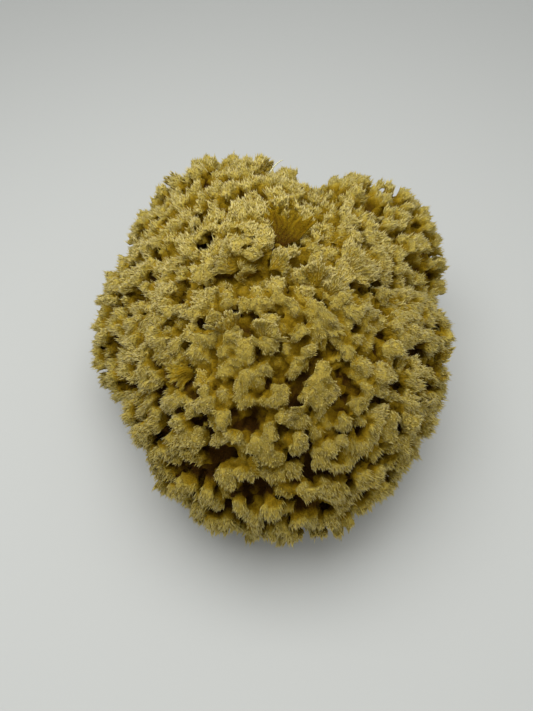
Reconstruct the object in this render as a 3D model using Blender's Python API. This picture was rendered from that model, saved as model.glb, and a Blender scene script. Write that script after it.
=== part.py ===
"""A sea sponge, one grown mass of lobes covered in meandering crests, cut flat where it stood on its rock.

Every point of the skin is reached by a straight ray from the heart of the sponge, so the form is a radius for
each direction: the lobes give the outermost reach, then channels between the crests, furrows between the lobes
and open pits sink into it. Lengths below are in millimetres, +Z up, -Y towards the front, with the origin in
the middle of the cut base. Directions are an azimuth from +X towards +Y and an elevation, in degrees, both
seen from the heart.
"""

import math

import bmesh
import bpy
import numpy as np

MM = 0.001

# The point that all of the sponge grows out from, above the middle of the cut base
HEART = np.array([0.8, 4.5, 44.0])

# Each lobe is a ball around the heart: the place of its centre, and its radius
LOBES = {
    "front": ((2.3, -28.0, 44.5), 60.5),
    "right": ((21.8, -6.5, 43.5), 55.0),
    "left": ((-35.7, 8.0, 36.0), 45.0),
    "back_left": ((-16.7, 40.5, 50.0), 48.0),
    "back_right": ((39.8, 38.0, 52.0), 41.0),
    "crown": ((-1.2, 8.0, 56.0), 46.5),
    "foot": ((2.8, 6.5, 30.0), 66.0),
}
LOBE_BLEND = 5.0  # how softly one lobe runs into the next

# Crests that meander over the lobes, with channels between them
CREST_SPACING = 18.0
CREST_WAVES = 26
CREST_SPREAD = 0.12  # how far the waves' lengths stray from the spacing, as a share
CREST_SEED = 11
CHANNEL_DEPTH = 11.0
CHANNEL_LEVEL = -0.90  # the wave height at and below which a channel has its full depth
CREST_LEVEL = 1.40  # the wave height at and above which a crest has its full height
CREST_ROUNDING = 2.2  # 1 gives straight slopes, and more gives steep sides and round tops

# Furrows between the lobes: the directions of the two ends, half the width, depth
FURROWS = {
    "back notch": ((72, 20), (45, 70), 6.0, 10.0),
    "saddle": ((45, 70), (-62, 74), 5.0, 7.0),
    "right notch": ((5, 15), (-14, 47), 5.0, 8.0),
    "crown cleft": ((-135, 69), (-92, 72), 3.6, 12.0),
    "front crack": ((-86, 50), (-93, 43), 2.4, 7.0),
}

# Open pits where the canals come out: direction, radius of the mouth, depth
PITS = {
    "front": [
        (-96, 29, 4.2, 19.0),
        (-94, 24, 4.2, 19.0),
        (-87, 22, 4.8, 20.0),
        (-86, 17, 3.8, 16.0),
        (-74, 21, 3.6, 15.0),
        (-65, 20, 3.4, 13.0),
        (-109, 31, 3.6, 14.0),
        (-102, 26, 3.4, 14.0),
        (-99, 19, 3.6, 14.0),
        (-108, 21, 3.4, 13.0),
        (-115, 16, 3.6, 13.0),
        (-90, 7, 4.0, 12.0),
    ],
    "front top": [
        (-71, 46, 3.8, 15.0),
        (-66, 39, 3.4, 14.0),
        (-67, 33, 3.4, 13.0),
        (-76, 38, 3.2, 12.0),
        (-84, 41, 3.4, 12.0),
    ],
    "saddle": [
        (-76, 68, 4.0, 16.0),
        (-112, 57, 4.4, 18.0),
        (-97, 58, 3.6, 14.0),
        (-126, 50, 3.4, 13.0),
        (-58, 62, 3.6, 12.0),
    ],
    "right": [
        (-9, 45, 4.4, 15.0),
        (-41, 32, 4.2, 13.0),
        (-50, 8, 4.2, 14.0),
        (-22, 12, 4.4, 15.0),
    ],
    "back right": [
        (35, 59, 3.6, 13.0),
        (26, 41, 4.0, 13.0),
        (52, 18, 4.6, 16.0),
        (28, 4, 4.2, 14.0),
    ],
    "back left": [
        (95, 70, 3.8, 13.0),
        (125, 66, 3.6, 12.0),
        (84, 8, 4.8, 16.0),
        (110, 20, 4.6, 15.0),
        (138, 12, 4.4, 15.0),
        (128, 40, 4.0, 13.0),
    ],
    "left": [
        (161, 64, 3.6, 12.0),
        (-141, 59, 3.6, 12.0),
        (-149, 42, 3.6, 12.0),
        (-176, 32, 4.0, 13.0),
        (164, 12, 4.4, 15.0),
        (-160, 6, 4.4, 14.0),
        (-134, 12, 4.2, 14.0),
    ],
}

SKIN_SUBDIVISIONS = 6  # of the ball that becomes the skin, before it is thinned
SKIN_TRIANGLES = 10800  # kept after thinning; about an eighth of them then goes with what is below the cut
CUT_WELD = 0.05  # corners of the cut's edge that are nearer than this become one

STRAW_COLOUR = (0.45, 0.34, 0.11, 1.0)
STRAW_ROUGHNESS = 0.95


def clear_scene():
    for thing in list(bpy.data.objects):
        bpy.data.objects.remove(thing)


def direction(azimuth, elevation):
    """The unit direction that an azimuth and an elevation in degrees give."""
    turn, rise = math.radians(azimuth), math.radians(elevation)
    return np.array([math.cos(rise) * math.cos(turn), math.cos(rise) * math.sin(turn), math.sin(rise)])


def lobe_reach(ways):
    """How far the lobes reach from the heart along each unit direction: a soft maximum over the balls.

    A ray that misses a ball counts as far as its nearest approach to the ball's centre.
    """
    total = np.zeros(len(ways))
    for centre, radius in LOBES.values():
        offset = np.array(centre) - HEART
        along = ways @ offset
        reach = along + np.sqrt(np.maximum(along**2 - offset @ offset + radius**2, 0.0))
        total += np.exp(reach / LOBE_BLEND)
    return LOBE_BLEND * np.log(total)


def meander(points):
    """A sum of plane waves of nearly one length in random directions: high on winding crests, low between."""
    draw = np.random.default_rng(CREST_SEED)
    waves = draw.normal(size=(CREST_WAVES, 3))
    waves /= np.linalg.norm(waves, axis=1, keepdims=True)
    stray = draw.uniform(1.0 - CREST_SPREAD, 1.0 + CREST_SPREAD, (CREST_WAVES, 1))
    waves *= 2.0 * math.pi / CREST_SPACING * stray
    phases = draw.uniform(0.0, 2.0 * math.pi, CREST_WAVES)
    return np.cos(points @ waves.T + phases).sum(axis=1) * math.sqrt(2.0 / CREST_WAVES)


def crest_height(points):
    """0 on the floor of a channel, rising steeply beside it and rounding over to 1 along the top of a crest."""
    share = np.clip((meander(points) - CHANNEL_LEVEL) / (CREST_LEVEL - CHANNEL_LEVEL), 0.0, 1.0)
    return 1.0 - (1.0 - share) ** CREST_ROUNDING


def furrow_depth(ways, reach):
    """How deep the furrows sink the skin: a bell across the straight line between each furrow's two ends."""
    depth = np.zeros(len(ways))
    for start, end, half_width, deep in FURROWS.values():
        first, last = direction(*start), direction(*end)
        run = last - first
        share = np.clip((ways - first) @ run / (run @ run), 0.0, 1.0)
        nearest = first + share[:, None] * run
        nearest /= np.linalg.norm(nearest, axis=1, keepdims=True)
        aside = np.linalg.norm(ways - nearest, axis=1) * reach / half_width
        depth = np.maximum(depth, deep * np.exp(-(aside**2) / 2.0))
    return depth


def pit_depth(ways, reach):
    """How deep the pits sink the skin: a steep-sided bell around each pit's own direction."""
    depth = np.zeros(len(ways))
    for group in PITS.values():
        for azimuth, elevation, mouth, deep in group:
            aside = np.linalg.norm(ways - direction(azimuth, elevation), axis=1) * reach / mouth
            depth = np.maximum(depth, deep * np.exp(-(aside**4) / 2.0))
    return depth


def skin_radius(ways):
    """The sponge's radius along each unit direction: crests cover the furrows too, and pits cut through both."""
    reach = lobe_reach(ways)
    reach -= furrow_depth(ways, reach)
    channels = CHANNEL_DEPTH * (1.0 - crest_height(HEART + ways * reach[:, None]))
    return reach - np.maximum(channels, pit_depth(ways, reach))


def straw_material():
    material = bpy.data.materials.new("straw_fibre")
    material.use_nodes = True
    shader = material.node_tree.nodes["Principled BSDF"]
    shader.inputs["Base Color"].default_value = STRAW_COLOUR
    shader.inputs["Roughness"].default_value = STRAW_ROUGHNESS
    shader.inputs["Metallic"].default_value = 0.0
    return material


def skin_ball():
    """A ball of unit radius whose corners are then moved out to the sponge's skin."""
    ball = bmesh.new()
    bmesh.ops.create_icosphere(ball, subdivisions=SKIN_SUBDIVISIONS, radius=1.0)
    mesh = bpy.data.meshes.new("sponge_skin")
    ball.to_mesh(mesh)
    ball.free()
    return mesh


def shape_skin(mesh):
    """Moves each corner of the ball along its own ray, out to the skin."""
    ways = np.empty(len(mesh.vertices) * 3)
    mesh.vertices.foreach_get("co", ways)
    ways = ways.reshape(-1, 3)
    ways /= np.linalg.norm(ways, axis=1, keepdims=True)
    places = (HEART + ways * skin_radius(ways)[:, None]) * MM
    mesh.vertices.foreach_set("co", places.ravel())
    mesh.update()


def thinned(mesh):
    """The same skin with fewer triangles, where Blender's Decimate finds that they matter least."""
    holder = bpy.data.objects.new("sponge_fine", mesh)
    bpy.context.scene.collection.objects.link(holder)
    thin = holder.modifiers.new("thin", "DECIMATE")
    thin.ratio = SKIN_TRIANGLES / len(mesh.polygons)
    graph = bpy.context.evaluated_depsgraph_get()
    result = bpy.data.meshes.new_from_object(holder.evaluated_get(graph))
    bpy.data.objects.remove(holder)
    return result


def drop_crumbs(solid):
    """Deletes each tip that the cut has parted from the body, which is all that the topmost corner joins."""
    reached = {max(solid.verts, key=lambda vertex: vertex.co.z)}
    edge_of_search = list(reached)
    while edge_of_search:
        here = edge_of_search.pop()
        for edge in here.link_edges:
            there = edge.other_vert(here)
            if there not in reached:
                reached.add(there)
                edge_of_search.append(there)
    crumbs = [vertex for vertex in solid.verts if vertex not in reached]
    bmesh.ops.delete(solid, geom=crumbs, context="VERTS")


def cut_flat(mesh):
    """Slices off all that lies below the origin's level, as a knife along the rock would, and closes the cut."""
    solid = bmesh.new()
    solid.from_mesh(mesh)
    everything = solid.verts[:] + solid.edges[:] + solid.faces[:]
    sliced = bmesh.ops.bisect_plane(
        solid, geom=everything, plane_co=(0.0, 0.0, 0.0), plane_no=(0.0, 0.0, 1.0), clear_inner=True
    )
    rim = [item for item in sliced["geom_cut"] if isinstance(item, bmesh.types.BMVert)]
    bmesh.ops.remove_doubles(solid, verts=rim, dist=CUT_WELD * MM)
    drop_crumbs(solid)
    for vertex in solid.verts:
        vertex.co.z = max(vertex.co.z, 0.0)
    edge_of_cut = [edge for edge in solid.edges if edge.is_boundary]
    bmesh.ops.edgeloop_fill(solid, edges=edge_of_cut)
    bmesh.ops.triangulate(solid, faces=solid.faces[:])
    bmesh.ops.recalc_face_normals(solid, faces=solid.faces[:])
    solid.to_mesh(mesh)
    solid.free()


def build_sponge():
    fine = skin_ball()
    shape_skin(fine)
    mesh = thinned(fine)
    cut_flat(mesh)
    mesh.shade_flat()
    sponge = bpy.data.objects.new("sponge", mesh)
    sponge.data.materials.append(straw_material())
    bpy.context.scene.collection.objects.link(sponge)
    return sponge


clear_scene()
build_sponge()
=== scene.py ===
"""The looks of a sea sponge: lumpy joined columns over a pitted core, their fibres, and a plain pale stage.

Lengths in the formulas are in millimetres and are turned into metres where a mesh is made. +Z is up and -Y is
towards the front. A direction is an azimuth from +X towards +Y and an elevation, in degrees, seen from the heart.
"""

import math

import bpy
import numpy as np
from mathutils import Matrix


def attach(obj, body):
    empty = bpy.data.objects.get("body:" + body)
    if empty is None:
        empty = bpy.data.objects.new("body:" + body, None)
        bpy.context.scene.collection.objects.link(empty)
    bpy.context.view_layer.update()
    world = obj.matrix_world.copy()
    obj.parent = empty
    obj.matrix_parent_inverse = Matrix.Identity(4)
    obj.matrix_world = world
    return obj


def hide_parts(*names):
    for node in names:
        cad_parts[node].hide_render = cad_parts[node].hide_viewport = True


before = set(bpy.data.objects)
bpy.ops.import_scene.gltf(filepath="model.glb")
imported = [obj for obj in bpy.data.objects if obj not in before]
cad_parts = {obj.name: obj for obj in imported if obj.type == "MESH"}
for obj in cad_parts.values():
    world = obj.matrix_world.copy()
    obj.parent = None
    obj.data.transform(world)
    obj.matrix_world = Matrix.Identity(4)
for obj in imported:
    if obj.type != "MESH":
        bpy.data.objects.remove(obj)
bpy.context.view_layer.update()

bl_info = {
    "name": "Sea Sponge",
    "version": (1, 0, 0),
    "blender": (4, 5, 0),
    "location": "3D View > Sidebar > Sea Sponge",
    "description": "Grows a tufted natural sponge and the stage that it is shown on",
    "category": "Add Mesh",
}

MM = 0.001
NODE = "sponge"
BODY = "root"

# The broad form, as in the solid but with tighter furrows and finer pits. A lobe has a centre and a radius, a
# furrow has two ends, a half width and a depth, and a pit has an azimuth, an elevation, a half width and a depth.
HEART = np.array([0.8, 4.5, 44.0])
LOBES = {
    "front": ((2.3, -28.0, 44.5), 60.5),
    "right": ((21.8, -6.5, 43.5), 55.0),
    "left": ((-35.7, 8.0, 36.0), 45.0),
    "back_left": ((-16.7, 40.5, 50.0), 48.0),
    "back_right": ((39.8, 38.0, 52.0), 41.0),
    "crown": ((-1.2, 8.0, 56.0), 46.5),
    "foot": ((2.8, 6.5, 30.0), 66.0),
}
LOBE_BLEND = 5.0
CREST_SPACING = 18.0
CREST_WAVES = 26
CREST_SPREAD = 0.12
CREST_SEED = 11
CHANNEL_LEVEL = -0.90
CREST_LEVEL = 1.40
CREST_ROUNDING = 2.2
FURROWS = {
    "back notch": ((72, 20), (55, 62), 4.0, 5.0),
    "saddle": ((55, 62), (-62, 74), 4.5, 6.0),
    "right notch": ((5, 15), (-14, 47), 5.0, 8.0),
    "crown cleft": ((-135, 69), (-92, 72), 3.6, 12.0),
    "front crack": ((-86, 50), (-93, 43), 1.6, 3.0),
}
PITS = {
    "front": [
        (-96, 29, 3.4, 17.0),
        (-94, 24, 3.4, 19.0),
        (-87, 22, 4.2, 20.0),
        (-86, 17, 3.4, 18.0),
        (-74, 21, 3.0, 15.0),
        (-65, 20, 3.0, 13.0),
        (-109, 31, 3.0, 14.0),
        (-102, 26, 3.0, 14.0),
        (-99, 19, 3.2, 16.0),
        (-108, 21, 3.0, 15.0),
        (-115, 16, 3.2, 15.0),
        (-90, 7, 3.6, 14.0),
    ],
    "front top": [
        (-71, 46, 3.0, 15.0),
        (-66, 39, 2.6, 14.0),
        (-67, 33, 2.6, 13.0),
        (-76, 38, 2.6, 12.0),
        (-84, 41, 2.6, 12.0),
    ],
    "saddle": [
        (-76, 68, 3.2, 14.0),
        (-112, 57, 3.4, 18.0),
        (-97, 58, 2.6, 14.0),
        (-126, 50, 2.8, 13.0),
        (-58, 62, 2.6, 12.0),
    ],
    "right": [
        (-9, 45, 3.2, 14.0),
        (-41, 32, 3.0, 13.0),
        (-50, 8, 3.2, 14.0),
        (-22, 12, 3.4, 15.0),
    ],
    "back right": [
        (35, 59, 3.0, 12.0),
        (26, 41, 3.2, 13.0),
        (52, 18, 3.6, 16.0),
        (28, 4, 3.2, 14.0),
    ],
    "back left": [
        (95, 70, 3.0, 12.0),
        (125, 66, 2.8, 12.0),
        (84, 8, 3.8, 16.0),
        (110, 20, 3.6, 15.0),
        (138, 12, 3.4, 15.0),
        (128, 40, 3.0, 13.0),
    ],
    "left": [
        (161, 64, 2.8, 12.0),
        (-141, 59, 2.8, 12.0),
        (-149, 42, 2.8, 12.0),
        (-176, 32, 3.2, 13.0),
        (164, 12, 3.4, 15.0),
        (-160, 6, 3.4, 14.0),
        (-134, 12, 3.2, 14.0),
    ],
}
PIT_NARROWING = 0.8  # a pit's width here as a share of the listed one, because the columns around it lean in

# Finer growth, which only the looks have
FINE_WAVES = 30
FRONT_DOME = (-78, 36)  # the middle of the broad smooth lumps of the front
DOME_ANGLES = (22.0, 48.0)  # from that middle, in degrees, the dome is full within the first and gone at the second
LOW_RISE, LOW_FRONT = (0.58, 0.2), (-0.1, 0.5)  # where a direction's rise and frontward share make it low: none, full
COLUMN_SEED = 5
NOMINAL_RADIUS = 85.0
CLEAR_DEPTH, CLEAR_HEIGHT = 9.0, 1.5  # no column grows where a pit is deeper, or nearer the cut than this
TIP_DROP, LESSER_DROP = 1.1, (2.0, 4.6)  # how much lower tips stand at random, and those of lesser columns as well
LEAN_SHARE, LEAN_STRAY = 0.1, 0.18  # how far neighbouring columns lean the same way, and each its own way
LEAN_SPACING, LEAN_SEEDS = 42.0, (31, 32, 33)
BEND = 1.1
LOW_LENGTH, LOW_CORE = 3.0, 3.2  # how much longer the columns and how much deeper the core are, low on the front
COLUMN_RINGS = (0.0, 0.2, 0.4, 0.58, 0.74, 0.87, 0.96)  # heights of a column's rings
COLUMN_AROUND = 10
CAP_START, CAP_SPAN = 0.74, 0.28  # where a column's rounded end starts, and its height, as shares of the length
KNOB_RINGS = (0.18, 0.4, 0.6, 0.82)
KNOB_AROUND, KNOB_STRETCH = 7, 1.35
BRIDGE_RINGS = (0.0, 0.25, 0.5, 0.75, 1.0)
BRIDGE_AROUND, BRIDGE_TRIES = 8, 4  # points around a bridge, and neighbours that a column may be joined to
CORE_ROUND, CORE_RISE = 240, 120  # steps of the core's grid around and from pole to pole
CORE_SPACING, CORE_SEED, CORE_WAVE, CORE_CHANNEL = 7.0, 13, 1.1, 2.0
BASE_PIT_SPACING, BASE_PIT_SEED = 11.0, 41
BASE_PIT_LEVELS, BASE_PIT_DEPTH = (0.75, 1.25), 9.0
SKIN_TRIANGLES = 195000
RAGGED_SPACING, RAGGED_SEED = 2.4, 19
LUMP_SPACING, LUMP_SEED = 5.0, 29
FIELD_LIMIT = 1.5  # where a wave field is cut off, so that no single peak stands out
HOLLOW_STEPS = 16
BASE_DEPTH, BASE_SLOPE = 4.5, 1.1  # the most depth that counts at the cut, and how fast that limit grows upwards
# The clear hollows: azimuth, elevation and half width
HOLLOWS = [(42, 83, 8.5), (66, 73, 9.0), (-112, 57, 4.0)]
# The fans seen in the photo: azimuth, elevation, turn from the back towards the right, length, opening, depth
FANS = [
    (-140, 75, -60, 10.0, 52, 0.0),
    (-95, 77, 60, 8.0, 45, 0.0),
    (2, 86, 5, 15.5, 42, 4.5),
    (84, 57, -10, 10.0, 22, 0.0),
    (-58, 58, 20, 10.0, 35, 0.0),
    (-63, 55, 160, 8.0, 50, 0.0),
    (-58, 64, 0, 9.0, 40, 0.5),
    (-107, 51, -20, 8.5, 45, 0.0),
    (-94, 50, 30, 9.0, 50, 0.0),
    (-35, 63, 45, 12.0, 28, 0.0),
]
# The further fans: the least and the most of their turn, length, opening and depth
FAN_RANGES = ((-180.0, 180.0), (6.0, 9.5), (25.0, 50.0), (0.0, 1.5))
FAN_SEED = 61
FAN_ROWS, FAN_AROUND = 8, 96  # steps of a fan's grid along its rays and around its edge
FAN_RIBS = 8
FAN_WAVE_SPACING, FAN_WAVE = 6.0, 0.45
CLUMP_SPACING, CLUMP_SEED = 2.6, 23
FIBRE_STRAY, FIBRE_SUNK = 0.08, 0.25  # how far a fibre strays from its way, and how far its root is sunk
FLOOR_ROOM = 0.5  # no fibre's root and no fan's point is nearer to the floor than this
# Each kind of fibre: lift off the skin, paleness of the tip, thickness against the felt's, brightness and seed
FIBRE_KINDS = {
    "felt": (0.35, 0.7, 1.0, 1.0, 101),
    "fringe": (0.15, 1.0, 1.15, 1.0, 201),
    "teeth": (0.1, 1.0, 1.9, 1.25, 301),
    "fan_fringe": (0.1, 1.0, 1.2, 1.0, 401),
}
LOOSE_FIBRE = ((0.4, 44.6, 101.2), (3.0, 46.8, 103.3), (5.5, 48.0, 104.2))
LOOSE_STEPS, LOOSE_AROUND, LOOSE_RADIUS = 14, 8, 0.3
SPECK, SPECK_RADIUS, SPECK_DEPTH = (-90.0, -2.0, 48.0), 0.5, 20.0

# The finish
# The depth ramp paints shade: the deeper a place lies below the tips, the darker and browner its straw, down to near
# black in the pits, with only the paler tips partly the straw's own colour. Fibres sit higher on the ramp than the
# skin, so they carry less of that painted shade.
RAMP_DEPTH = 20.0  # the depth at the end of the colour ramp
RAMP_PLACES = (0.03, 0.11, 0.22, 0.4, 0.62)  # of the tips, crests, sides, channels and pits on the ramp
SKIN_SHIFT, FIBRE_SHIFT = -0.5, -2.0  # added to the depth, so that fibres are paler than the skin
LOOSE_STOPS = [(0.2, (0.82, 0.79, 0.62)), (0.8, (0.03, 0.02, 0.012))]
MOTTLE_SCALE, MOTTLE_DEPTH = 150.0, 5.0
STREAK_SCALE, GRAIN_SCALE = 1.5, 1500.0
STREAK_NOISE, STREAK_SHADE = (0.7, 1.3), (0.72, 1.22)  # from this span of the two noises to this span of shade
# Partly painted shade: the front is tinted darker and browner than the back, partly the straw's own deeper golden
# there and partly shade on the side that faces down and away from the lamp.
FRONT_END, BACK_START = -75.0, 25.0  # between these places from front to back the tint changes
FRONT_GOLD_AND_SHADE, BACK_TINT = (0.73, 0.7, 0.46, 1.0), (0.89, 0.88, 0.69, 1.0)
# Painted shade and light on the fibres: each fibre is darkened at its root, down among the others, and paled at its
# tip, partly its own paler end and partly painted light shining through the thin tip.
FIBRE_ROOT_SHADE, FIBRE_TIP_PALE_AND_GLOW = (0.93, 0.9, 0.8, 1.0), (1.24, 1.26, 1.8, 1.0)
# Matt straw that lets some light through: the Subsurface Scale is how far it goes, in metres
STRAW_FINISH = {
    "Roughness": 0.9,
    "Specular IOR Level": 0.08,
    "Subsurface Weight": 0.3,
    "Subsurface Radius": (1.0, 0.75, 0.35),
    "Subsurface Scale": 0.002,
}

# The stage, in metres apart from the floor
FLOOR_HALF = 3000.0
FLOOR_FINISH = {"Roughness": 0.7, "Specular IOR Level": 0.2}
LAMP_SIZE, LAMP_PLACE, LAMP_TILT = (0.45, 0.35), (-0.05, -0.01, 0.5), -6.0
SKY_COLOUR = (0.97, 0.98, 0.98, 1.0)
CAMERA_PLACE, SENSOR_WIDTH, PICTURE_HEIGHT = (-0.0013, -0.1551, 0.261), 36.0, 711.0


def millimetres(name, description, default, least=0.0):
    """A length. Its number is in millimetres, so it has no unit, which would show it as metres."""
    words = description + ", in millimetres"
    return bpy.props.FloatProperty(name=name, description=words, default=default, min=least)


def share(name, description, default, least=0.0, most=10.0):
    """A share, with 1 for the whole. Its slider ends at 2."""
    return bpy.props.FloatProperty(
        name=name, description=description, default=default, min=least, max=most, soft_max=2.0, subtype="FACTOR"
    )


def number(name, description, default, least=0):
    """A count of pieces or fibres."""
    return bpy.props.IntProperty(name=name, description=description, default=default, min=least)


def colour(name, description, default):
    """A colour as red, green and blue."""
    return bpy.props.FloatVectorProperty(
        name=name, description=description, default=default, subtype="COLOR", size=3, min=0.0, max=1.0
    )


class SpongeForm(bpy.types.PropertyGroup):
    """The columns, their knobs and bridges, the core below them and the fans."""

    spacing: millimetres("Spacing", "From one column to the next", 7.2, least=4.0)
    stray: share("Stray", "How far a column strays from an even spread, against the spacing", 0.3)
    missing: share("Missing", "Share of the columns left out at random", 0.08, most=0.5)
    length: millimetres("Length", "From a column's root to its tip", 11.0, least=2.0)
    radius: millimetres("Radius", "Half a column's width near its tip", 2.35, least=0.5)
    fan_width: share("Fan width", "How much wider than round the widest columns are", 1.3)
    knobs: number("Knobs", "Knobs around each column's end", 3)
    knob_size: share("Knob size", "A knob's radius against the column's", 0.45, least=0.1)
    joined: share("Joined", "Share of neighbouring columns with a bridge between them", 0.32)
    bridge_radius: millimetres("Bridge radius", "Half a bridge's width", 1.4, least=0.3)
    core_depth: millimetres("Core depth", "How far the core lies below the outer reach", 7.5)
    lesser: share("Lesser", "Share of the columns that stay low between the others", 0.33)
    # Painted shade: the next four settings darken the skin's straw with its depth below the outer reach, below a
    # column's own tip and in creases, where shade falls.
    depth_shade_share: share("Depth share", "How much the depth below the outer reach darkens the skin", 0.3)
    own_shade_share: share("Own share", "How much the depth below a column's own tip darkens the skin", 0.65)
    crease_shade_share: share("Hollow share", "How much lying in a crease darkens the skin", 1.6)
    pit_shade_start: millimetres("Pit start", "Depth taken off before depth alone darkens the skin", 4.2)
    broad_depth: millimetres("Crest depth", "How far the columns in the channels stand lower", 3.3)
    tip_room: millimetres("Tip room", "From the outer reach down to the tips", -1.4, least=-5.0)
    fans: number("Further fans", "Fans strewn over the sponge besides those placed one by one", 26, least=1)
    fan_depth: millimetres("Fan depth", "From the outer reach down to a fan's foot", 4.0)
    fan_curl: millimetres("Fan curl", "How far a fan's edge curls up", 1.6)
    ragged: millimetres("Raggedness", "Height of the rough felt on the skin", 0.5)
    lumps: millimetres("Lumps", "Height of the soft lumps on the columns", 0.5)
    grain: millimetres("Grain", "The size of one face of the skin", 1.1, least=0.7)


class SpongeFibres(bpy.types.PropertyGroup):
    """The fibres that cover the skin and the fans."""

    felt_count: number("Felt fibres", "Short fibres in each of the two felt pieces", 39000, least=100)
    felt_length: millimetres("Felt length", "Length of a felt fibre", 0.85, least=0.1)
    fringe_count: number("Fringe fibres", "Long fibres in each of the two fringe pieces", 38000, least=100)
    fringe_length: millimetres("Fringe length", "Length of a fibre at a column's end", 1.9, least=0.1)
    teeth_count: number("Teeth", "Thick strands in each of the two teeth pieces", 9000, least=100)
    fan_count: number("Fan fibres", "Fibres on all the fans", 11000, least=100)
    teeth_length: millimetres("Teeth length", "Length of a strand at the rim of a column's end", 2.5, least=0.1)
    thickness: millimetres("Fibre thickness", "Across a felt fibre's root", 0.34, least=0.05)


class SpongeColours(bpy.types.PropertyGroup):
    """The straw colours from the tips of the tufts down to the pits: the paler tips are partly the straw's own
    colour, and the darker colours below them are painted shade, down to near black at the pit bottoms.
    """

    tip: colour("Tips", "Fibre tips", (0.5, 0.39, 0.1))
    crest: colour("Crests", "Ends of the columns", (0.43, 0.32, 0.055))
    side: colour("Sides", "Sides of the columns", (0.34, 0.222, 0.014))
    # The channel and pit colours are painted shade between the columns and deep in the pits.
    deep: colour("Channels", "Between the columns", (0.225, 0.138, 0.003))
    pit: colour("Pits", "Bottoms of the pits", (0.07, 0.03, 0.002))


class SpongeStage(bpy.types.PropertyGroup):
    """The floor, the lights and the camera."""

    floor: colour("Floor", "Colour of the floor", (0.53, 0.54, 0.52))
    key_power: bpy.props.FloatProperty(
        name="Key light", description="Power of the soft light overhead", subtype="POWER", default=2.0, min=0.0
    )
    sky: share("Sky", "Strength of the light from all around", 0.6)
    pitch: bpy.props.FloatProperty(
        name="Camera pitch", description="How far the camera looks down", subtype="ANGLE", default=math.radians(56.0)
    )
    focal: bpy.props.FloatProperty(
        name="Focal length", description="In pixels of a picture 711 high", subtype="PIXEL", default=590.0, min=50.0
    )


def smooth_step(value, low, high):
    """0 below low, 1 above high, and an even S between them."""
    part = np.clip((value - low) / (high - low), 0.0, 1.0)
    return part * part * (3.0 - 2.0 * part)


def rounded_step(value, low, high):
    """0 below low, then 1 minus a power of what is left to high: steep at first, round on top."""
    part = np.clip((value - low) / (high - low), 0.0, 1.0)
    return 1.0 - (1.0 - part) ** CREST_ROUNDING


def bell(value, middle, width):
    """1 at the middle, falling as e to the minus square of the distance from it over the width."""
    return np.exp(-(((value - middle) / width) ** 2))


def unit(vectors):
    """Each vector over its own length."""
    return vectors / np.maximum(np.linalg.norm(vectors, axis=-1, keepdims=True), 1e-12)


def direction(azimuth, elevation):
    """The unit direction that an azimuth and an elevation in degrees give."""
    turn, rise = math.radians(azimuth), math.radians(elevation)
    return np.array([math.cos(rise) * math.cos(turn), math.cos(rise) * math.sin(turn), math.sin(rise)])


def side_vectors(along, draw):
    """A random unit vector square to each given unit vector, and the third one square to both."""
    first = unit(np.cross(along, unit(draw.normal(size=along.shape))))
    return first, np.cross(along, first)


def full_turn(count):
    """Even angles around a full turn."""
    return np.arange(count) * 2.0 * math.pi / count


def circles(first, second, turns):
    """A circle in the plane of each two side vectors: the first by each turn's cosine, the second by its sine."""
    return np.cos(turns)[None, :, None] * first[:, None] + np.sin(turns)[None, :, None] * second[:, None]


def dome_share(ways):
    """1 on the front's dome, by the cosine of the angle from its middle, falling evenly to 0 around it."""
    inner, outer = (math.cos(math.radians(angle)) for angle in DOME_ANGLES)
    return smooth_step(ways @ direction(*FRONT_DOME), outer, inner)


def low_share(ways):
    """1 low on the front half, where the columns stand apart like fingers, falling evenly to 0 higher and behind."""
    return smooth_step(-ways[:, 2], -LOW_RISE[0], -LOW_RISE[1]) * smooth_step(-ways[:, 1], *LOW_FRONT)


def lobe_reach(ways):
    """How far the lobes reach from the heart: the soft maximum, over the balls, of where a ray leaves each ball."""
    total = np.zeros(len(ways))
    for centre, radius in LOBES.values():
        offset = np.array(centre) - HEART
        along = ways @ offset
        reach = along + np.sqrt(np.maximum(along**2 - offset @ offset + radius**2, 0.0))
        total += np.exp(reach / LOBE_BLEND)
    return LOBE_BLEND * np.log(total)


def furrow_depth(ways, reach):
    """A bell across the straight line between each furrow's two ends."""
    depth = np.zeros(len(ways))
    for start, end, half_width, deep in FURROWS.values():
        first, last = direction(*start), direction(*end)
        run = last - first
        part = np.clip((ways - first) @ run / (run @ run), 0.0, 1.0)
        nearest = unit(first + part[:, None] * run)
        aside = np.linalg.norm(ways - nearest, axis=1) * reach / half_width
        depth = np.maximum(depth, deep * np.exp(-(aside**2) / 2.0))
    return depth


def pit_depth(ways, reach):
    """A steep-sided bell around each pit's own direction."""
    depth = np.zeros(len(ways))
    for group in PITS.values():
        for azimuth, elevation, mouth, deep in group:
            aside = np.linalg.norm(ways - direction(azimuth, elevation), axis=1) * reach / (mouth * PIT_NARROWING)
            depth = np.maximum(depth, deep * np.exp(-(aside**4) / 2.0))
    return depth


def outer_reach(ways):
    """The reach of the lobes less the furrows between them."""
    reach = lobe_reach(ways)
    return reach - furrow_depth(ways, reach)


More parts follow.
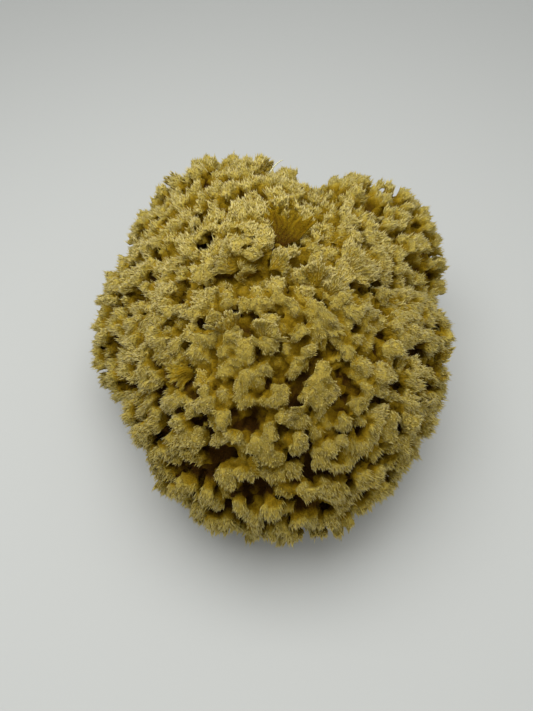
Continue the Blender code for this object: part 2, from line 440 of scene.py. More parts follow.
def wave_field(points, spacing, seed, waves=FINE_WAVES, with_slope=False):
    """A sum of plane waves of nearly one length in random directions, and if asked for, its slope per mm.

    The value is high along winding crests and low between them, with a mean of 0 and a spread of about 1.
    """
    draw = np.random.default_rng(seed)
    steps = draw.normal(size=(waves, 3))
    steps /= np.linalg.norm(steps, axis=1, keepdims=True)
    steps *= 2.0 * math.pi / spacing * draw.uniform(1.0 - CREST_SPREAD, 1.0 + CREST_SPREAD, (waves, 1))
    phases = draw.uniform(0.0, 2.0 * math.pi, waves)
    angle = points @ steps.T + phases
    scale = math.sqrt(2.0 / waves)
    value = np.cos(angle).sum(axis=1) * scale
    if not with_slope:
        return value
    return value, -(np.sin(angle) @ steps) * scale


def vector_field(points, spacing, seeds):
    """Three wave fields side by side, as one vector at each point."""
    return np.stack([wave_field(points, spacing, seed) for seed in seeds], axis=1)


def capped(field):
    """A wave field with its highest peaks and lowest dips cut off."""
    return np.clip(field, -FIELD_LIMIT, FIELD_LIMIT)


def crest_height(points):
    """1 on the broad crests of the solid and 0 in its channels."""
    return rounded_step(wave_field(points, CREST_SPACING, CREST_SEED, CREST_WAVES), CHANNEL_LEVEL, CREST_LEVEL)


def cut_reach(ways):
    """How far the flat cut lies along each direction; a ray that rises never meets it."""
    falls = np.maximum(-ways[:, 2], 1e-6)
    return np.where(ways[:, 2] < 0.0, HEART[2] / falls, 1e4)


def golden_spiral(spacing):
    """Unit directions spread evenly over the sphere, about a spacing apart at the nominal radius."""
    count = int(4.0 * math.pi * NOMINAL_RADIUS**2 / (spacing**2 * math.sqrt(3.0) / 2.0))
    order = np.arange(count) + 0.5
    rise = 1.0 - 2.0 * order / count
    turn = order * math.pi * (3.0 - math.sqrt(5.0))
    level = np.sqrt(1.0 - rise**2)
    return np.stack([level * np.cos(turn), level * np.sin(turn), rise], axis=1)


def ring_faces(rows, around):
    """The number of each point on a grid of rings, the next point's around it, and the faces between the rings."""
    index = np.arange(rows * around).reshape(rows, around)
    after = np.roll(index, -1, axis=1)
    return index, after, np.stack([index[:-1], after[:-1], after[1:], index[1:]], axis=-1).reshape(-1, 4)


def closed_tubes(rings, starts, ends):
    """Points and faces of closed tubes: rings given as (tubes, rings, around, 3), and a point at each end."""
    count, rows, around = rings.shape[:3]
    points = np.concatenate([rings.reshape(count, -1, 3), starts[:, None], ends[:, None]], axis=1)
    index, after, quads = ring_faces(rows, around)
    start, end = np.full(around, rows * around), np.full(around, rows * around + 1)
    caps = np.concatenate([np.stack([start, after[0], index[0]], 1), np.stack([end, index[-1], after[-1]], 1)])
    first = (np.arange(count) * points.shape[1])[:, None, None]
    return points.reshape(-1, 3), (quads + first).reshape(-1, 4), (caps + first).reshape(-1, 3)


def closed_sheets(rings):
    """Points and faces of closed thin sheets: each ring is a flat loop whose second half mirrors its first half."""
    count, rows, around = rings.shape[:3]
    index, after, quads = ring_faces(rows, around)
    step = np.arange(around // 2)
    mirror = around - step
    upper = np.stack([step[:-1], step[1:], mirror[1:]], axis=1)
    lower = np.stack([step[1:], mirror[1:] - 1, mirror[1:]], axis=1)
    cap = np.concatenate([upper, lower])
    caps = np.concatenate([cap[:, ::-1], cap + index[-1, 0]])
    first = (np.arange(count) * rows * around)[:, None, None]
    return rings.reshape(-1, 3), (quads + first).reshape(-1, 4), (caps + first).reshape(-1, 3)


def join_shapes(shapes):
    """The points, four-cornered faces and triangles of several closed shapes as those of one."""
    starts = np.cumsum([0] + [len(shape[0]) for shape in shapes[:-1]])
    points = np.concatenate([shape[0] for shape in shapes])
    quads, caps = (np.concatenate([shape[k] + start for shape, start in zip(shapes, starts)]) for k in (1, 2))
    return points, quads, caps


class Columns:
    """Every column's root, run, size and lumps, drawn once and used for the skin and its fibres alike.

    The columns stand on a golden spiral, strayed a little, apart from the pits and hollows. Their tips lie at the
    outer reach less a random drop, which is larger in the channels and for the lesser columns.
    """

    def __init__(self, form):
        draw = np.random.default_rng(COLUMN_SEED)
        ways = golden_spiral(form.spacing)
        ways = unit(ways + draw.normal(size=ways.shape) * form.stray * form.spacing / NOMINAL_RADIUS)
        reach = outer_reach(ways)
        outer = HEART + ways * reach[:, None]
        chance = draw.uniform(size=len(ways))
        front, low = dome_share(ways), low_share(ways)
        kept = (pit_depth(ways, reach) < CLEAR_DEPTH) & (outer[:, 2] > CLEAR_HEIGHT) & (chance > form.missing)
        for azimuth, elevation, clear in HOLLOWS:
            kept &= np.linalg.norm(ways - direction(azimuth, elevation), axis=1) * reach > clear
        ways, outer, front, low = ways[kept], outer[kept], front[kept], low[kept]
        count = len(ways)
        self.count = count
        self.low = low
        lesser = draw.uniform(size=count) < form.lesser
        drop = np.abs(draw.normal(size=count)) * TIP_DROP + form.broad_depth * (1.0 - crest_height(outer))
        drop += np.where(lesser, draw.uniform(*LESSER_DROP, count), 0.0)
        tip = outer - ways * (form.tip_room + drop)[:, None]
        lean = vector_field(outer, LEAN_SPACING, LEAN_SEEDS)
        self.axis = unit(ways + LEAN_SHARE * lean + draw.normal(size=ways.shape) * LEAN_STRAY)
        self.length = form.length + LOW_LENGTH * low + draw.uniform(-1.0, 1.0, count)
        self.root = tip - self.axis * self.length[:, None]
        self.radius = form.radius * draw.uniform(0.8, 1.2, count) * (0.84 + 0.31 * front) * (1.0 + 0.04 * low)
        self.stretch = 1.0 + form.fan_width * draw.uniform(size=count) ** 2 * (1.0 - 0.6 * low)
        self.first, self.second = side_vectors(self.axis, draw)
        self.bend = draw.normal(size=(count, 3)) * BEND
        self.phases = draw.uniform(0.0, 2.0 * math.pi, (count, 2))
        self.blunt = 1.0 - 0.9 * front * (1.0 - low)

    def middle(self, height):
        """The middle line at heights from 0 to 1, one row for each column, bent as the square of the height."""
        height = height[..., None]
        run = self.axis * self.length[:, None]
        return self.root[:, None] + run[:, None] * height + self.bend[:, None] * (height**2 - 0.5)

    def middle_at(self, height):
        """The one point of each column's middle line at a height."""
        return self.middle(np.full((self.count, 1), height))[:, 0]

    def around(self, turn):
        """The rim of each column's cross section at the given turns: a circle of radius 1, stretched one way."""
        wide = self.first * self.stretch[:, None]
        return np.cos(turn)[..., None] * wide[:, None] + np.sin(turn)[..., None] * self.second[:, None]

    def shafts(self):
        """Tubes with soft lumps that swell towards the end: rounded ends at the front, flared blunt ones elsewhere.

        The end is a superellipse: the size falls as the root of 1 minus a power of the height within the end, and
        a higher power makes it blunter. The lumps are cosines of the turn that drift with the height.
        """
        height, turn = np.meshgrid(np.array(COLUMN_RINGS), full_turn(COLUMN_AROUND), indexing="ij")
        height, turn = height.ravel(), turn.ravel()
        blunt = self.blunt[:, None]
        swell = 0.58 + 0.45 * smooth_step(height, 0.25, 0.85) + 0.2 * blunt * smooth_step(height, 0.6, 0.95)
        power = 2.0 + 3.0 * blunt
        cap = (1.0 - np.clip((height - CAP_START) / CAP_SPAN, 0.0, 1.0) ** power) ** (1.0 / power)
        lumps = 1.0 + 0.13 * np.cos(3.0 * turn + 2.5 * height + self.phases[:, :1])
        lumps = lumps + 0.12 * np.cos(2.0 * turn - 4.0 * height + self.phases[:, 1:])
        size = self.radius[:, None] * swell * cap * lumps
        height = np.broadcast_to(height, size.shape)
        points = self.middle(height) + self.around(np.broadcast_to(turn, size.shape)) * size[..., None]
        rings = points.reshape(self.count, len(COLUMN_RINGS), COLUMN_AROUND, 3)
        return closed_tubes(rings, self.middle_at(-0.05), self.middle_at(CAP_START + CAP_SPAN))

    def knobs(self, form):
        """Small egg shapes half sunk in the upper part of each column, long along its run.

        An egg's ring at a rise lies back by its stretched cosine along the run, and is a circle of its sine.
        """
        draw = np.random.default_rng(COLUMN_SEED + 1)
        shape = (self.count, form.knobs)
        height = draw.uniform(0.6, 0.98, shape)
        turn = draw.uniform(0.0, 2.0 * math.pi, shape)
        narrowing = 1.1 - 0.45 * smooth_step(height, 0.7, 1.0)
        aside = self.radius[:, None] * draw.uniform(0.55, 1.0, shape) * narrowing
        centre = self.middle(height) + self.around(turn) * aside[..., None]
        size = self.radius[:, None] * form.knob_size * draw.uniform(0.7, 1.35, shape)
        axis = np.broadcast_to(self.axis[:, None], centre.shape)
        axis = unit(axis + 0.5 * self.around(turn) + 0.25 * draw.normal(size=centre.shape))
        centre, size, axis = centre.reshape(-1, 3), size.ravel(), axis.reshape(-1, 3)
        rise = (np.array(KNOB_RINGS) * math.pi)[None, :, None, None]
        along = -KNOB_STRETCH * np.cos(rise) * axis[:, None, None]
        spread = np.sin(rise) * circles(*side_vectors(axis, draw), full_turn(KNOB_AROUND))[:, None]
        rings = centre[:, None, None] + size[:, None, None, None] * (along + spread)
        reach = KNOB_STRETCH * size[:, None] * axis
        return closed_tubes(rings, centre - reach, centre + reach)

    def bridges(self, form):
        """Thick strands between the upper parts of neighbouring columns, which sag as a sine in the middle."""
        draw = np.random.default_rng(COLUMN_SEED + 2)
        centre = self.middle_at(0.6)
        squared = (centre**2).sum(1)[:, None] + (centre**2).sum(1)[None] - 2.0 * centre @ centre.T
        np.fill_diagonal(squared, np.inf)
        one = np.repeat(np.arange(self.count), BRIDGE_TRIES)
        other = np.argsort(squared, axis=1)[:, :BRIDGE_TRIES].ravel()
        low = np.maximum(self.low[one], self.low[other])
        chance = form.joined * (1.0 - 0.7 * low) * (1.0 - 0.35 * self.blunt[one])
        chosen = (one < other) & (draw.uniform(size=len(one)) < chance)
        one, other = one[chosen], other[chosen]
        height = draw.uniform(0.35, 0.82, (2, self.count))
        start = self.middle(height[0][:, None])[one, 0]
        end = self.middle(height[1][:, None])[other, 0]
        run = unit(end - start)
        spread = circles(*side_vectors(run, draw), full_turn(BRIDGE_AROUND))
        along = np.array(BRIDGE_RINGS)
        sag = np.sin(along * math.pi)[None, :, None] * self.axis[one][:, None]
        middle = start[:, None] + (end - start)[:, None] * along[None, :, None] - sag
        size = form.bridge_radius * draw.uniform(0.75, 1.3, (len(one), len(along), 1))
        rings = middle[:, :, None] + size[..., None] * spread[:, None]
        return closed_tubes(rings, start - run, end + run)

    def nearest(self, points):
        """The index of the column whose upper part lies nearest to each point."""
        centre = self.middle_at(0.7)
        length = (centre**2).sum(axis=1)
        parts = np.array_split(points, max(len(points) // 8000, 1))
        return np.concatenate([np.argmin(length - 2.0 * part @ centre.T, axis=1) for part in parts])

    def below_tip(self, points, nearest):
        """How far points lie below the tip of their nearest column, measured along its run."""
        return ((self.middle_at(1.0)[nearest] - points) * self.axis[nearest]).sum(axis=1)

    def growth(self, points, nearest):
        """The way that fibres grow at points: away from low on the column's middle, or on a stretched one's plane."""
        offset = points - self.middle_at(0.3)[nearest]
        wide = self.first[nearest]
        flat = 0.8 * (1.0 - 1.0 / self.stretch[nearest])
        offset = offset - (offset * wide).sum(axis=1, keepdims=True) * wide * flat[:, None]
        return unit(unit(offset) + (0.4 + 0.6 * self.blunt[nearest])[:, None] * self.axis[nearest])


def fan_sheets(form):
    """Scallops: closed ribbed sheets that spread from a point below the tips and curl up to a ragged edge.

    A point lies at the share v along a ray that leaves the sheet's middle line by u times the opening angle, with u
    from -1 to 1 over the sheet and back below it. The ribs are a cosine of u, and they and the curl grow with v.
    Gives the points and faces, and the depth, the strand and the growth of each point.
    """
    draw = np.random.default_rng(FAN_SEED)
    ways = unit(draw.normal(size=(form.fans, 3)))
    ways[:, 2] = np.abs(ways[:, 2]) * 0.9
    ways = np.concatenate([[direction(*fan[:2]) for fan in FANS], unit(ways)])
    turn, length, opening, sunk = (
        np.concatenate([[fan[k + 2] for fan in FANS], draw.uniform(*FAN_RANGES[k], form.fans)]) for k in range(4)
    )
    phase = draw.uniform(0.0, 2.0 * math.pi, (len(ways), 1, 1))
    back = unit(np.array([0.0, 1.0, 0.0]) - ways[:, 1:2] * ways)
    right = np.cross(back, ways)
    swing = np.radians(turn)[:, None]
    axis = unit(0.45 * ways + 0.9 * (np.cos(swing) * back + np.sin(swing) * right))
    normal = unit(ways - (ways * axis).sum(axis=1, keepdims=True) * axis)
    side = np.cross(normal, axis)[:, None, None]
    base = (HEART + ways * (outer_reach(ways) - form.fan_depth - sunk)[:, None])[:, None, None]
    axis, normal, length = axis[:, None, None], normal[:, None, None], length[:, None, None]

    part = np.arange(FAN_AROUND) / FAN_AROUND
    across = np.abs(4.0 * part - 2.0) - 1.0
    lift = np.where(part < 0.5, 1.0, -1.0) * np.sqrt(1.0 - across**4)
    along, across = np.meshgrid(np.linspace(0.1, 1.0, FAN_ROWS), across, indexing="ij")
    ribs = np.cos(math.pi * FAN_RIBS * across * (0.8 + 0.06 * phase) + 1.3 * np.sin(3.0 * across + phase))
    edge = 1.0 + 0.07 * ribs + 0.12 * np.cos(4.3 * across + phase) + 0.07 * np.cos(9.7 * across - phase)
    ray = length * along * (1.0 + (edge - 1.0) * along**2)
    angle = np.radians(opening)[:, None, None] * across
    rise = form.fan_curl * along**2 + 0.26 * along * ribs + 0.42 * lift * (1.0 - 0.45 * along)
    rise = rise - length * (0.12 + 0.1 * np.sin(phase)) * across**2
    rings = base + (ray * np.cos(angle))[..., None] * axis
    rings = rings + (ray * np.sin(angle))[..., None] * side + rise[..., None] * normal
    # Painted shade: a fan's depth, which the straw ramp darkens with, grows towards its foot, in the grooves between
    # its ribs and for fans sunk deeper.
    depth = 5.5 * (1.0 - along) - 1.0 - 1.3 * ribs * along + 1.5 * sunk[:, None, None]
    strand = np.stack(np.broadcast_arrays(across * 12.0, along * 2.5, phase * 9.0), axis=-1)
    growth = unit(np.cos(angle)[..., None] * axis + np.sin(angle)[..., None] * side + 0.3 * normal)
    points, quads, caps = closed_sheets(rings)
    points = points + FAN_WAVE * vector_field(points, FAN_WAVE_SPACING, LEAN_SEEDS)
    points[:, 2] = np.maximum(points[:, 2], FLOOR_ROOM)
    return (points, quads, caps), depth.reshape(-1), strand.reshape(-1, 3), growth.reshape(-1, 3)


def core_skin(form):
    """The pitted core on a grid of azimuth by polar angle, closed at the poles, cut flat with open canals below.

    Its radius is the outer reach less the core's depth, waved a little, or less a pit's depth where that is more.
    """
    turn = np.linspace(0.0, 2.0 * math.pi, CORE_ROUND, endpoint=False)
    rise = np.linspace(math.pi, 0.0, CORE_RISE + 1)[1:-1]
    rise, turn = np.meshgrid(rise, turn, indexing="ij")
    ring = np.stack([np.sin(rise) * np.cos(turn), np.sin(rise) * np.sin(turn), np.cos(rise)], axis=-1)
    ways = np.concatenate([ring.reshape(-1, 3), [[0.0, 0.0, -1.0], [0.0, 0.0, 1.0]]])
    reach = outer_reach(ways)
    outer = HEART + ways * reach[:, None]
    sunk = form.core_depth + CORE_CHANNEL * (1.0 - crest_height(outer)) + LOW_CORE * low_share(ways)
    sunk += CORE_WAVE * wave_field(outer, CORE_SPACING, CORE_SEED)
    radius = reach - np.maximum(sunk, pit_depth(ways, reach))
    floor = cut_reach(ways)
    on_floor = HEART + ways * floor[:, None]
    canals = rounded_step(wave_field(on_floor, BASE_PIT_SPACING, BASE_PIT_SEED), *BASE_PIT_LEVELS)
    radius = np.minimum(radius, floor - BASE_PIT_DEPTH * canals)
    points = HEART + ways * radius[:, None]
    rings = points[:-2].reshape(1, CORE_RISE - 1, CORE_ROUND, 3)
    return closed_tubes(rings, points[-2][None], points[-1][None])


def make_mesh(name, points, *face_groups):
    """A mesh from points in millimetres and arrays of faces, each array with one number of corners."""
    mesh = bpy.data.meshes.new(name)
    mesh.vertices.add(len(points))
    mesh.vertices.foreach_set("co", (points * MM).astype(np.float32).ravel())
    corners = np.concatenate([faces.ravel() for faces in face_groups]).astype(np.int32)
    sizes = np.concatenate([np.full(len(faces), faces.shape[1]) for faces in face_groups]).astype(np.int32)
    mesh.loops.add(len(corners))
    mesh.loops.foreach_set("vertex_index", corners)
    mesh.polygons.add(len(sizes))
    mesh.polygons.foreach_set("loop_start", np.concatenate([[0], np.cumsum(sizes)[:-1]]).astype(np.int32))
    mesh.polygons.foreach_set("loop_total", sizes)
    mesh.update(calc_edges=True)
    return mesh


def put_in_scene(name, mesh, material):
    """An object of the mesh at the origin, with the one material."""
    piece = bpy.data.objects.new(name, mesh)
    bpy.context.scene.collection.objects.link(piece)
    mesh.materials.clear()
    mesh.materials.append(material)
    return piece


def set_attribute(mesh, name, values):
    """Keeps one number or vector for each point of the mesh under a name that a material can read."""
    kind = "FLOAT" if values.ndim == 1 else "FLOAT_VECTOR"
    key = "value" if values.ndim == 1 else "vector"
    attribute = mesh.attributes.new(name, kind, "POINT")
    attribute.data.foreach_set(key, values.astype(np.float32).ravel())


def mesh_vectors(data, key, count):
    """A vector for each of a mesh's points or normals, as an array of rows."""
    values = np.empty(count * 3, np.float32)
    data.foreach_get(key, values)
    return values.reshape(-1, 3).astype(float)


def bake_modifiers(piece):
    """Replaces a piece's mesh by what its modifiers make of it, and takes them off."""
    graph = bpy.context.evaluated_depsgraph_get()
    mesh = bpy.data.meshes.new_from_object(piece.evaluated_get(graph))
    material = piece.data.materials[0]
    piece.modifiers.clear()
    piece.data = mesh
    mesh.materials.clear()
    mesh.materials.append(material)


def hollow_of(mesh, points, normals):
    """How far the mesh, smoothed over a few millimetres, lies above each point: positive in creases.

    Each smoothing step puts every point at the mean of the points that share an edge with it.
    """
    edges = np.empty(len(mesh.edges) * 2, np.int32)
    mesh.edges.foreach_get("vertices", edges)
    one, other = edges.reshape(-1, 2).T
    ends, sources = np.concatenate([one, other]), np.concatenate([other, one])
    count = len(points)
    degree = np.bincount(ends, minlength=count)
    smooth = points
    for _ in range(HOLLOW_STEPS):
        smooth = np.stack([np.bincount(ends, smooth[sources, k], count) / degree for k in range(3)], axis=1)
    return ((smooth - points) * normals).sum(axis=1)


def depth_of(points):
    """How far points lie below the outer reach, but no more than a limit that rises with the height over the cut."""
    offset = points - HEART
    radius = np.linalg.norm(offset, axis=1)
    limit = BASE_DEPTH + BASE_SLOPE * np.maximum(points[:, 2], 0.0)
    return np.minimum(outer_reach(offset / radius[:, None]) - radius, limit)


def ride_and_replace(piece):
    """A piece of the sponge rides on its only body and stands for its only solid."""
    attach(piece, BODY)
    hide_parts(NODE)


class Finish:
    """A new material and its nodes, each of which is added, set and linked in one call."""

    def __init__(self, name, values):
        self.material = bpy.data.materials.new(name)
        self.material.use_nodes = True
        self.nodes = self.material.node_tree.nodes
        self.shader = self.nodes["Principled BSDF"]
        self.feed(self.shader, values)

    def feed(self, node, values):
        """Sets each named input of a node to a number or a colour, or links it to another node's socket."""
        for key, value in values.items():
            if isinstance(value, bpy.types.NodeSocket):
                self.material.node_tree.links.new(value, node.inputs[key])
            else:
                node.inputs[key].default_value = value

    def add(self, kind, result, values, **settings):
        """A node of a kind, with its settings and inputs, as its socket with the given name."""
        node = self.nodes.new(f"ShaderNode{kind}")
        for key, value in settings.items():
            setattr(node, key, value)
        self.feed(node, values)
        return node.outputs[result]

    def attribute(self, name, result="Fac"):
        """What the mesh keeps under a name for each of its points."""
        return self.add("Attribute", result, {}, attribute_name=name)

    def noise(self, place, scale, detail):
        """A cloudy value from 0 to 1 over a place or a vector."""
        return self.add("TexNoise", "Fac", {"Vector": place, "Scale": scale, "Detail": detail})

    def mix(self, how, share_of_b, a, b):
        """Colour b laid over colour a in the named way."""
        values = {"Factor": share_of_b, "A": a, "B": b}
        return self.add("Mix", "Result", values, data_type="RGBA", blend_type=how)


def colour_stops(colours):
    """The places on the depth ramp, from 0 at the tips to 1 at its full depth, and their colours."""
    return list(zip(RAMP_PLACES, (colours.tip, colours.crest, colours.side, colours.deep, colours.pit)))


def straw_material(name, stops, is_fibre):
    """Straw colours by depth below the tips, which paint shade into the recesses, mottled, and darker and deeper
    golden towards the front, partly the straw's own colour and partly painted shade.

    Fibres carry painted shade at their roots and pale towards their tips, partly their own paler ends and partly
    painted light shining through them, and differ in tone. A skin has streaks along the growth and a rough felted
    grain.
    """
    finish = Finish(name, STRAW_FINISH)
    place = finish.add("TexCoord", "Object", {})
    mottle = finish.noise(place, MOTTLE_SCALE, 4.0)
    values = {0: mottle, 1: MOTTLE_DEPTH, 2: finish.attribute("depth")}
    shifted = finish.add("Math", "Value", values, operation="MULTIPLY_ADD")
    values = {0: shifted, 1: 1.0 / RAMP_DEPTH, 2: (FIBRE_SHIFT if is_fibre else SKIN_SHIFT) / RAMP_DEPTH}
    scaled = finish.add("Math", "Value", values, operation="MULTIPLY_ADD")
    straw = finish.add("ValToRGB", "Color", {"Fac": scaled})
    elements = straw.node.color_ramp.elements
    while len(elements) < len(stops):
        elements.new(0.5)
    for element, (position, shade) in zip(elements, stops):
        element.position = position
        element.color = (*shade, 1.0)

    if is_fibre:
        # Painted shade at the roots. At the tips it is partly the fibres' own paler colour and partly painted light
        # through them.
        root, tip = (finish.mix("MULTIPLY", 1.0, straw, tint) for tint in (FIBRE_ROOT_SHADE, FIBRE_TIP_PALE_AND_GLOW))
        paler = finish.mix("MIX", finish.attribute("along"), root, tip)
        straw = finish.mix("MULTIPLY", 1.0, paler, finish.attribute("tone"))
    else:
        streaks = finish.noise(finish.attribute("strand", "Vector"), STREAK_SCALE, 3.0)
        values = {0: streaks, 1: finish.noise(place, GRAIN_SCALE, 3.0)}
        both = finish.add("Math", "Value", values, operation="ADD")
        spans = zip(("From Min", "From Max", "To Min", "To Max"), STREAK_NOISE + STREAK_SHADE)
        darker = finish.add("MapRange", "Result", {"Value": both, **dict(spans)})
        straw = finish.mix("MULTIPLY", 1.0, straw, darker)
        bump = {"Strength": 0.8, "Distance": 0.0006, "Height": both}
        finish.feed(finish.shader, {"Normal": finish.add("Bump", "Normal", bump)})

    # Painted shade, partly real colour: darker and browner towards the front, paler towards the back.
    depth = finish.add("SeparateXYZ", "Y", {"Vector": place})
    back = {"Value": depth, "From Min": FRONT_END * MM, "From Max": BACK_START * MM}
    tint = finish.mix("MIX", finish.add("MapRange", "Result", back), FRONT_GOLD_AND_SHADE, BACK_TINT)
    finish.feed(finish.shader, {"Base Color": finish.mix("MULTIPLY", 1.0, straw, tint)})
    return finish.material


def grow_skin(form, columns, material):
    """Core, shafts, knobs and bridges fused into one even closed skin, cut flat below and roughened like felt."""
    shapes = [core_skin(form), columns.shafts(), columns.knobs(form), columns.bridges(form)]
    points, quads, caps = join_shapes(shapes)
    points[:, 2] = np.maximum(points[:, 2], 0.0)
    skin = put_in_scene("sponge_skin", make_mesh("parts", points, quads, caps), material)
    even = skin.modifiers.new("even", "REMESH")
    even.mode = "VOXEL"
    even.voxel_size = form.grain * MM
    even.adaptivity = 0.0
    bake_modifiers(skin)
    fewer = skin.modifiers.new("fewer", "DECIMATE")
    fewer.ratio = min(1.0, SKIN_TRIANGLES / (2.0 * len(skin.data.polygons)))
    bake_modifiers(skin)
    mesh = skin.data
    mesh.name = "sponge_skin"
    points = mesh_vectors(mesh.vertices, "co", len(mesh.vertices)) / MM
    normals = mesh_vectors(mesh.vertices, "normal", len(mesh.vertices))
    on_cut = points[:, 2] < 0.4 * form.grain
    rough = form.ragged * capped(wave_field(points, RAGGED_SPACING, RAGGED_SEED))
    rough += form.lumps * capped(wave_field(points, LUMP_SPACING, LUMP_SEED))
    points += normals * np.where(on_cut, 0.0, rough)[:, None]
    points[:, 2] = np.where(on_cut, 0.0, np.maximum(points[:, 2], 0.0))
    mesh.vertices.foreach_set("co", (points * MM).astype(np.float32).ravel())
    mesh.update()
    mesh.shade_smooth()
    nearest = columns.nearest(points)
    growth = columns.growth(points, nearest)
    # The depth attribute paints shade. It grows below the outer reach, below the nearest column's tip (more so low on
    # the front, where the columns hang) and in creases, and the straw ramp darkens with it.
    below = depth_of(points)
    own_shade_share = form.own_shade_share * (1.0 + 1.2 * columns.low[nearest])
    depth = form.depth_shade_share * below + own_shade_share * columns.below_tip(points, nearest)
    depth += form.crease_shade_share * hollow_of(mesh, points, normals)
    set_attribute(mesh, "depth", np.maximum(depth, below - form.pit_shade_start))
    set_attribute(mesh, "growth", growth)
    set_attribute(mesh, "strand", growth * 9.0 + 50.0 * columns.axis[nearest])
    ride_and_replace(skin)


class SkinSampler:
    """Draws random places on a piece's faces, with each face's area times a weight as its chance."""

    def __init__(self, name):
        """Reads a piece's mesh, and each face's area, middle, depth and how squarely it faces the growth."""
        mesh = bpy.data.objects[name].data
        mesh.calc_loop_triangles()
        corners = np.empty(len(mesh.loop_triangles) * 3, np.int32)
        mesh.loop_triangles.foreach_get("vertices", corners)
        self.corners = corners.reshape(-1, 3)
        count = len(mesh.vertices)
        self.points = mesh_vectors(mesh.vertices, "co", count) / MM
        self.normals = mesh_vectors(mesh.vertices, "normal", count)
        self.growth = mesh_vectors(mesh.attributes["growth"].data, "vector", count)
        depth = np.empty(count, np.float32)
        mesh.attributes["depth"].data.foreach_get("value", depth)
        a, b, c = (self.points[self.corners[:, k]] for k in range(3))
        across = np.cross(b - a, c - a)
        self.area = np.linalg.norm(across, axis=1) / 2.0
        self.middle = (a + b + c) / 3.0
        self.face_depth = depth[self.corners].mean(axis=1)
        self.below = np.maximum(self.face_depth, 0.0)
        face_growth = unit(self.growth[self.corners].mean(axis=1))
        self.facing = (unit(across) * face_growth).sum(axis=1)

    def draw(self, count, weight, draw):
        """Places, normals, growth directions and depths of count points, spread evenly within each drawn face."""
        chance = self.area * weight
        faces = draw.choice(len(chance), count, p=chance / chance.sum())
        part = draw.uniform(size=(count, 2))
        over = part.sum(axis=1) > 1.0
        part[over] = 1.0 - part[over]
        weights = np.column_stack([1.0 - part.sum(axis=1), part])[:, :, None]
        corners = self.corners[faces]
        places = (self.points[corners] * weights).sum(axis=1)
        normals = unit((self.normals[corners] * weights).sum(axis=1))
        growth = unit((self.growth[corners] * weights).sum(axis=1))
        return places, normals, growth, self.face_depth[faces]


def needle_mesh(name, roots, tips, thickness, depth, tone, paleness, draw):
    """Closed needles: a three-cornered root square to the needle's run, and three sides that meet in the tip."""
    spread = circles(*side_vectors(unit(tips - roots), draw), full_turn(3))
    rim = roots[:, None] + spread * (thickness / 2.0)[:, None, None]
    points = np.concatenate([rim, tips[:, None]], axis=1).reshape(-1, 3)
    pattern = np.array([[0, 1, 3], [1, 2, 3], [2, 0, 3], [0, 2, 1]])
    faces = (np.arange(len(roots)) * 4)[:, None, None] + pattern
    mesh = make_mesh(name, points, faces.reshape(-1, 3))
    set_attribute(mesh, "depth", np.repeat(depth, 4))
    set_attribute(mesh, "along", np.tile([0.0, 0.0, 0.0, paleness], len(roots)))
    set_attribute(mesh, "tone", np.repeat(tone, 4))
    return mesh


def grow_fibres(name, kind, sampler, weight, count, length, thickness, material, is_back=False):
    """Fibres on the skin, drawn together into points where a fine wave field is high.

    A fibre runs along its column's growth, raised off the face where it would lie too flat, bent up the field's
    slope and strayed a little; where the field is high it is longer, and deep down it is shorter.
    """
    lift, paleness, girth, brightness, seed = FIBRE_KINDS[kind]
    draw = np.random.default_rng(seed + is_back)
    places, normals, growth, depth = sampler.draw(count, weight, draw)
    field, slope = wave_field(places, CLUMP_SPACING, CLUMP_SEED, with_slope=True)
    gather = slope * CLUMP_SPACING / (2.0 * math.pi)
    rise = (growth * normals).sum(axis=1, keepdims=True)
    growth = growth + np.maximum(lift - rise, 0.0) * normals
    ways = unit(places - HEART)
    dome = dome_share(ways)
    stray = draw.normal(size=places.shape) * FIBRE_STRAY
    run = unit(growth + (0.3 - 0.14 * dome)[:, None] * gather + stray)
    reach = length * draw.uniform(0.6, 1.2, count) * (0.9 + 0.16 * capped(field))
    reach *= 0.35 + 0.65 * bell(np.maximum(depth, 0.0), 0.0, 3.5)
    reach *= 1.0 - 0.25 * dome + 0.15 * low_share(ways)
    roots = places - run * FIBRE_SUNK
    tips = places + run * reach[:, None]
    kept = (tips[:, 2] > 0.0) & (roots[:, 2] > FLOOR_ROOM)
    roots, tips, depth = roots[kept], tips[kept], depth[kept]
    size = thickness * girth * draw.uniform(0.7, 1.3, len(roots))
    tone = brightness * draw.uniform(0.88, 1.12, len(roots))
    mesh = needle_mesh(name, roots, tips, size, depth, tone, paleness, draw)
    ride_and_replace(put_in_scene(name, mesh, material))


def loose_pieces(sampler):
    """A loose fibre as a tube along a parabola through three points, and a speck of dirt as a small ball."""
    first, middle, last = (np.array(point) for point in LOOSE_FIBRE)
    part = np.linspace(0.0, 1.0, LOOSE_STEPS)[:, None]
    bow = 4.0 * (middle - (first + last) / 2.0)
    line = first + (last - first) * part + bow * part * (1.0 - part)
    run = unit(np.gradient(line, axis=0))
    side = unit(np.cross(run, [0.0, 0.0, 1.0]))
    turns = full_turn(LOOSE_AROUND)
    size = LOOSE_RADIUS * (1.0 - 0.5 * part**2)
    rings = line[:, None] + size[..., None] * circles(side, np.cross(run, side), turns)
    tube = closed_tubes(rings[None], line[:1] - run[:1] * 2.0, line[-1:])

    nearest = np.argmin(((sampler.points - np.array(SPECK)) ** 2).sum(axis=1))
    centre = sampler.points[nearest] + sampler.normals[nearest] * SPECK_RADIUS
    rise = np.array(KNOB_RINGS)[:, None] * math.pi
    ring = np.broadcast_arrays(np.sin(rise) * np.cos(turns), np.sin(rise) * np.sin(turns), -np.cos(rise))
    pole = np.array([[0.0, 0.0, SPECK_RADIUS]])
    speck = closed_tubes((centre + SPECK_RADIUS * np.stack(ring, axis=-1))[None], centre - pole, centre + pole)
    return tube, speck


